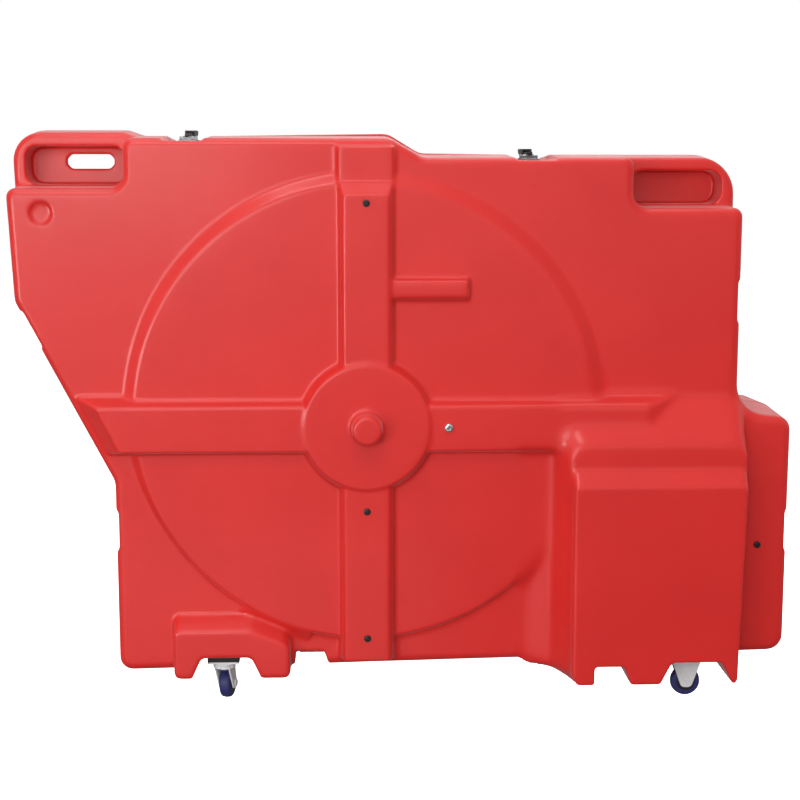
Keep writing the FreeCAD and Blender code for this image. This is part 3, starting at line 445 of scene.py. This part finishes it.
def made_piece(name, form, slot, body, material=None, replaced=()):
    """A finished mesh piece from a form, riding on a body."""
    bmesh.ops.recalc_face_normals(form, faces=form.faces[:])
    mesh = bpy.data.meshes.new(name)
    form.to_mesh(mesh)
    form.free()
    mesh.polygons.foreach_set("use_smooth", np.ones(len(mesh.polygons), dtype=bool))
    mesh.set_sharp_from_angle(angle=SHARP_ANGLE)
    mesh.materials.append(material or MATERIALS[slot])
    piece = linked(name, mesh)
    for node in replaced:
        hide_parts(node)
    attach(piece, body)


HEAD_SIDE = 0.25
DOME_STEPS = 5
# the key socket's lip and foot, as shares of its radius and of the head's height
SOCKET_LIP = (0.9, 0.95)
SOCKET_FOOT = (0.85, 0.3)


def domed_profile(radius, height, socket):
    """A domed head; the socket is the share of its radius that a key fits."""
    dome = [(0.0, 0.0), (radius, 0.0), (radius, HEAD_SIDE * height)]
    for step in range(1, DOME_STEPS):
        angle = step / DOME_STEPS * math.pi / 2
        dome.append((socket * radius + (1 - socket) * radius * math.cos(angle),
                     height * (HEAD_SIDE + (1 - HEAD_SIDE) * math.sin(angle))))
    if not socket:
        return dome + [(0.0, height)]
    dome.append((socket * radius, height))
    for across, level in (SOCKET_LIP, SOCKET_FOOT):
        dome.append((across * socket * radius, level * height))
    return dome + [(0.0, SOCKET_FOOT[1] * height)]


def islands(node):
    """The lowest and highest corner of each separate solid in a node."""
    form = bmesh.new()
    form.from_mesh(NODES[node].data)
    bmesh.ops.remove_doubles(form, verts=form.verts[:], dist=WELD)
    left = set(form.verts)
    boxes = []
    while left:
        start = left.pop()
        reached = [start]
        for vertex in reached:
            for edge in vertex.link_edges:
                other = edge.other_vert(vertex)
                if other in left:
                    left.remove(other)
                    reached.append(other)
        corners = np.array([vertex.co for vertex in reached])
        boxes.append((Vector(corners.min(axis=0)), Vector(corners.max(axis=0))))
    form.free()
    return sorted(boxes, key=lambda box: (round(box[0].x, 4), round(box[0].z, 4)))


def joint_of(child):
    """The joint that moves a body."""
    return next(joint for joint in RECORD["behaviour"]["joints"] if joint["child"] == child)


TYRE_SHOULDER = 5.0 * MM
TYRE_CROWN = 0.8 * MM
SHOULDER_STEPS = 6


def add_tyres():
    """Rubber tyres with round shoulders and a crowned tread, in place of the plain rings."""
    for node in NODES:
        if not node.endswith("_tyre"):
            continue
        joint = joint_of(BODY_OF[node])
        axis = Vector(joint["axis"]).normalized()
        place = Vector(joint["pos_m"])
        offsets = mesh_places(NODES[node].data) - np.array(place)
        heights = offsets @ np.array(axis)
        radii = np.sqrt((offsets ** 2).sum(axis=1) - heights ** 2)
        half = float(heights.max())
        outer = float(radii.max())
        inner = float(radii.min())
        profile = [(inner, -half), (outer - TYRE_SHOULDER - TYRE_CROWN, -half)]
        for step in range(1, SHOULDER_STEPS + 1):
            angle = step / SHOULDER_STEPS * math.pi / 2
            profile.append((outer - TYRE_CROWN - TYRE_SHOULDER * (1 - math.sin(angle)),
                            -half + TYRE_SHOULDER * (1 - math.cos(angle))))
        profile.append((outer, 0.0))
        profile += [(radius, -height) for radius, height in reversed(profile[:-1])]
        form = bmesh.new()
        turned(form, place, axis, profile + profile[:1], TURN_STEPS)
        bmesh.ops.remove_doubles(form, verts=form.verts[:], dist=WELD)
        made_piece(node + "_rubber", form, "tyre_rubber", BODY_OF[node], replaced=[node])


# Fasteners: heads over the plain ones of the solids, and rivets

BOLT_RADIUS = 5.4 * MM
BOLT_HEIGHT = 3.4 * MM
BOLT_SEAT = 2.5 * MM
# a shorter solid among the strap bolts is a nut
NUT_TALLEST = 8.0 * MM
SCREW_RADIUS = 7.2 * MM
SCREW_HEIGHT = 5.0 * MM
SCREW_SEAT = 3.0 * MM
KEY_SHARE = 0.45
RIVET_RADIUS = 2.6 * MM
RIVET_HEIGHT = 1.3 * MM
RIVET_INSET = 5.0 * MM
RIVET_SHARE = 0.55
TAIL_REACH = 1.0 * MM


def add_bolt_heads():
    """Domed, socketed heads over the plain heads of the strap bolts and the strut's screw."""
    for half, side in HALVES:
        form = bmesh.new()
        for low, high in islands("strap_bolts_" + half):
            if high.y - low.y < NUT_TALLEST:
                continue
            outer = high.y if side > 0 else low.y
            seat = Vector(((low.x + high.x) / 2, outer - side * BOLT_SEAT, (low.z + high.z) / 2))
            turned(form, seat, (0.0, side, 0.0), domed_profile(BOLT_RADIUS, BOLT_HEIGHT, KEY_SHARE))
        made_piece("bolt_heads_" + half, form, "bolt_black", half + "_half")
    low, high = islands("strut_screw")[0]
    form = bmesh.new()
    seat = Vector(((low.x + high.x) / 2, low.y + SCREW_SEAT, (low.z + high.z) / 2))
    turned(form, seat, (0.0, -1.0, 0.0), domed_profile(SCREW_RADIUS, SCREW_HEIGHT, KEY_SHARE))
    made_piece("screw_head", form, "screw_steel", BODY_OF["strut_screw"])


def outward_of(place, tangent):
    """The way out of the case at a latch: square to the rim's run and to the parting plane."""
    out = Vector(tangent).cross(Vector((0.0, 1.0, 0.0))).normalized()
    middle = (Vector(CAD_BOX[0]) + Vector(CAD_BOX[1])) / 2
    return out if out.dot(Vector(place) - middle) > 0 else -out


def add_latch_rivets():
    """Two rivets through the tail of each latch base and two through each keeper."""
    for node in NODES:
        if not node.endswith(("_base", "_keeper")) or not node.startswith("latch"):
            continue
        latch = node.rsplit("_", 1)[0]
        joint = joint_of(latch + "_lever")
        tangent = Vector(joint["axis"]).normalized()
        out = outward_of(joint["pos_m"], tangent)
        offsets = mesh_places(NODES[node].data) - np.array(joint["pos_m"])
        along = offsets @ np.array(tangent)
        depth = offsets[:, 1]
        height = offsets @ np.array(out)
        half = float(along.max())
        far = float(depth.max() if node.endswith("_base") else depth.min())
        inwards = -1.0 if node.endswith("_base") else 1.0
        tail = np.abs(depth - far) < TAIL_REACH
        face = float(height[tail].max())
        form = bmesh.new()
        for side in (-RIVET_SHARE, RIVET_SHARE):
            place = (Vector(joint["pos_m"]) + tangent * side * half + out * face
                     + Vector((0.0, far + inwards * RIVET_INSET, 0.0)))
            turned(form, place, out, domed_profile(RIVET_RADIUS, RIVET_HEIGHT, 0.0))
        made_piece(node + "_rivets", form, "latch_steel", BODY_OF[node])


# Straps: webbing bands bolted to the inside of each half

# a strap's section, as shares of its width and of its thickness
STRAP_SECTION = ((-0.5, 0.25), (-0.47, 0.0), (-0.25, -0.02), (0.25, -0.02), (0.47, 0.0), (0.5, 0.25),
                 (0.5, 0.75), (0.47, 1.0), (0.25, 1.02), (-0.25, 1.02), (-0.47, 1.0), (-0.5, 0.75))
STRAP_STEPS = 60
STRAP_SAG = 5.0 * MM
FOLD_LENGTH = 26.0 * MM
STITCH_ROWS = 3
STITCH_MARGIN = 4.0 * MM
STITCH_SIDES = 8
STITCH_LIFT = 1.04
STITCH_LENGTH = 3.2 * MM
STITCH_GAP = 1.6 * MM
STITCH_RADIUS = 0.35 * MM


def strap_line(share):
    """How far a strap stands off its wall: flat at the bolt, loose along its run."""
    return STRAP_SAG * math.sin(math.pi * share) ** 2 * share


def strap_band(form, low, high, side, up):
    """One band with rounded edges: its section is swept from the bolt to the free end."""
    width = high.x - low.x
    thick = high.y - low.y
    wall = high.y if side > 0 else low.y
    middle = (low.x + high.x) / 2
    rings = []
    for step in range(STRAP_STEPS + 1):
        share = step / STRAP_STEPS
        height = low.z + share * (high.z - low.z) if up else high.z - share * (high.z - low.z)
        stand = strap_line(share)
        ring = [form.verts.new((middle + across * width, wall - side * (stand + out * thick), height))
                for across, out in STRAP_SECTION]
        rings.append(ring)
    for near, far in zip(rings, rings[1:]):
        for index in range(len(STRAP_SECTION)):
            after = (index + 1) % len(STRAP_SECTION)
            form.faces.new((near[index], near[after], far[after], far[index]))
    form.faces.new(rings[0])
    form.faces.new(rings[-1])


def stitch(form, start, stop, radius):
    """One stitch: a short thread with round ends."""
    run = stop - start
    long = run.length
    profile = [(0.0, 0.0), (0.7 * radius, 0.3 * radius), (radius, radius), (radius, long - radius),
               (0.7 * radius, long - 0.3 * radius), (0.0, long)]
    turned(form, start, run, profile, STITCH_SIDES)


def strap_stitches(form, low, high, side, up):
    """Rows of stitches across the folded free end."""
    thick = high.y - low.y
    wall = high.y if side > 0 else low.y
    long = high.z - low.z
    pitch = STITCH_LENGTH + STITCH_GAP
    count = int((high.x - low.x - STITCH_MARGIN) / pitch)
    for row in range(STITCH_ROWS):
        share = 1.0 - (STITCH_MARGIN + row * FOLD_LENGTH / STITCH_ROWS) / long
        height = low.z + share * long if up else high.z - share * long
        level = wall - side * (strap_line(share) + STITCH_LIFT * thick)
        start = (low.x + high.x) / 2 - count * pitch / 2
        for index in range(count):
            left = start + index * pitch
            right = left + STITCH_LENGTH
            stitch(form, Vector((left, level, height)), Vector((right, level, height)), STITCH_RADIUS)


def add_straps():
    """Both halves' webbing straps, with stitched ends."""
    thread = Shader("strap_thread")
    tone = thread.colours(thread.noise(800.0), (0.3, (0.10, 0.10, 0.11)), (0.7, (0.16, 0.16, 0.17)))
    thread.set(Roughness=0.8)
    thread.join(Base_Color=tone)
    for half, side in HALVES:
        node = "wheel_straps_" + half
        bolts = islands("strap_bolts_" + half)
        bands = bmesh.new()
        threads = bmesh.new()
        for low, high in islands(node):
            near = [box for box in bolts if low.x < box[0].x < high.x and low.z < box[0].z < high.z]
            up = near[0][0].z < (low.z + high.z) / 2
            strap_band(bands, low, high, side, up)
            strap_stitches(threads, low, high, side, up)
        made_piece("wheel_strap_webbing_" + half, bands, "strap_webbing", half + "_half", replaced=[node])
        made_piece("wheel_strap_stitches_" + half, threads, "strap_webbing", half + "_half", thread.material)


# Studio: pale floor, soft light and the camera

CAMERA_PLACE = (-0.101, -2.525, 0.856)
CAMERA_PITCH = 8.69
CAMERA_YAW = 2.19
CAMERA_LENS = 70.6
SENSOR = 36.0


def add_camera():
    """The camera that was fitted to the photo."""
    data = bpy.data.cameras.new("camera")
    data.lens = CAMERA_LENS
    data.sensor_width = SENSOR
    camera = bpy.data.objects.new("camera", data)
    camera.location = CAMERA_PLACE
    camera.rotation_euler = (math.radians(90.0 - CAMERA_PITCH), 0.0, math.radians(-CAMERA_YAW))
    bpy.context.scene.collection.objects.link(camera)
    bpy.context.scene.camera = camera


STAGE_RADIUS = 14.0
STAGE_HEIGHT = 9.0
STAGE_STEPS = 96
FLOOR_GLOW = 0.8
# the floor lies low enough for the lid to hang open over it
FLOOR_LEVEL = -0.26


def stage_piece(name, form, material):
    """A piece of the stage, which the part neither reflects nor takes light from."""
    mesh = bpy.data.meshes.new(name)
    form.to_mesh(mesh)
    form.free()
    mesh.materials.append(material)
    piece = linked(name, mesh)
    piece.location.z = FLOOR_LEVEL
    piece.visible_diffuse = False
    piece.visible_glossy = False
    return piece


def add_stage():
    """A pale floor and a white wall all round it."""
    floor = Shader("floor_paint")
    tone = floor.colours(floor.noise(0.6, 2.0), (0.3, (0.93, 0.93, 0.93)), (0.7, (0.95, 0.95, 0.95)))
    floor.set(Roughness=0.9, Specular_IOR_Level=0.1, Emission_Color=WHITE, Emission_Strength=FLOOR_GLOW)
    disc = bmesh.new()
    bmesh.ops.create_circle(disc, cap_ends=True, segments=STAGE_STEPS, radius=STAGE_RADIUS)
    stage_piece("floor", disc, floor.join(Base_Color=tone))
    wall = Shader("wall_paint")
    wall.set(Base_Color=(0.0, 0.0, 0.0, 1.0), Specular_IOR_Level=0.0, Emission_Color=WHITE,
             Emission_Strength=1.0)
    ring = bmesh.new()
    bmesh.ops.create_circle(ring, segments=STAGE_STEPS, radius=STAGE_RADIUS)
    made = bmesh.ops.extrude_edge_only(ring, edges=ring.edges[:])
    raised = [item for item in made["geom"] if isinstance(item, bmesh.types.BMVert)]
    bmesh.ops.translate(ring, verts=raised, vec=(0.0, 0.0, STAGE_HEIGHT))
    backdrop = stage_piece("wall", ring, wall.material)
    backdrop.visible_shadow = False


# place, aim, width, height and power of each light, and whether reflections show it
LIGHTS = {
    "overhead": ((-0.6, -2.1, 2.9), (0.0, -0.1, 0.45), 1.5, 0.8, 20.0, True),
    "zenith": ((-0.2, -0.1, 3.0), (-0.2, 0.0, 0.45), 2.4, 1.2, 19.0, True),
    "front_left": ((-1.3, -3.4, 1.3), (-0.1, 0.0, 0.5), 1.8, 1.3, 25.0, True),
    "low_left": ((-2.0, -2.4, 0.45), (-0.3, 0.0, 0.35), 1.0, 0.7, 20.0, True),
    "floor_bounce": ((-0.6, -1.25, -0.2), (-0.35, 0.0, 0.2), 1.5, 0.4, 1.1, True),
    "front_fill": ((0.3, -3.6, 1.0), (0.0, 0.0, 0.45), 2.6, 1.4, 35.0, False),
    "rear": ((0.4, 3.2, 1.6), (0.0, 0.0, 0.45), 2.4, 1.6, 75.0, False),
    "left": ((-3.4, 0.0, 1.2), (0.0, 0.0, 0.45), 1.4, 1.4, 24.0, False),
    "right": ((3.4, 0.0, 1.2), (0.0, 0.0, 0.45), 1.4, 1.4, 24.0, False),
    "overhead_rear": ((0.5, 2.1, 2.9), (0.0, 0.1, 0.45), 1.5, 0.8, 12.0, True),
}
WORLD_LOW = 0.16
WORLD_HIGH = 0.45
WORLD_FADE = (-0.35, 0.55)


def area_light(name, place, aim, width, height, power, in_reflections):
    """A soft rectangular light that faces its aim."""
    data = bpy.data.lights.new(name, "AREA")
    data.shape = "RECTANGLE"
    data.size = width
    data.size_y = height
    data.energy = power
    light = bpy.data.objects.new(name, data)
    light.location = place
    direction = Vector(aim) - Vector(place)
    light.rotation_euler = direction.to_track_quat("-Z", "Y").to_euler()
    light.visible_glossy = in_reflections
    bpy.context.scene.collection.objects.link(light)


def add_world():
    """Even light from above that fades towards the floor."""
    world = bpy.data.worlds.new("studio")
    world.use_nodes = True
    tree = world.node_tree
    background = tree.nodes["Background"]
    place = tree.nodes.new("ShaderNodeTexCoord")
    parts = tree.nodes.new("ShaderNodeSeparateXYZ")
    tree.links.new(place.outputs["Generated"], parts.inputs["Vector"])
    fade = tree.nodes.new("ShaderNodeMapRange")
    fade.interpolation_type = "SMOOTHSTEP"
    fade.inputs["From Min"].default_value = WORLD_FADE[0]
    fade.inputs["From Max"].default_value = WORLD_FADE[1]
    fade.inputs["To Min"].default_value = WORLD_LOW
    fade.inputs["To Max"].default_value = WORLD_HIGH
    tree.links.new(parts.outputs["Z"], fade.inputs["Value"])
    tree.links.new(fade.outputs["Result"], background.inputs["Strength"])
    background.inputs["Color"].default_value = WHITE
    bpy.context.scene.world = world


def add_light():
    """The world, the lights and plain colour handling."""
    add_world()
    for name, settings in LIGHTS.items():
        area_light(name, *settings)
    bpy.context.scene.view_settings.view_transform = "Standard"


finish_nodes()
add_shells()
add_tyres()
add_bolt_heads()
add_latch_rivets()
add_straps()
add_camera()
add_stage()
add_light()
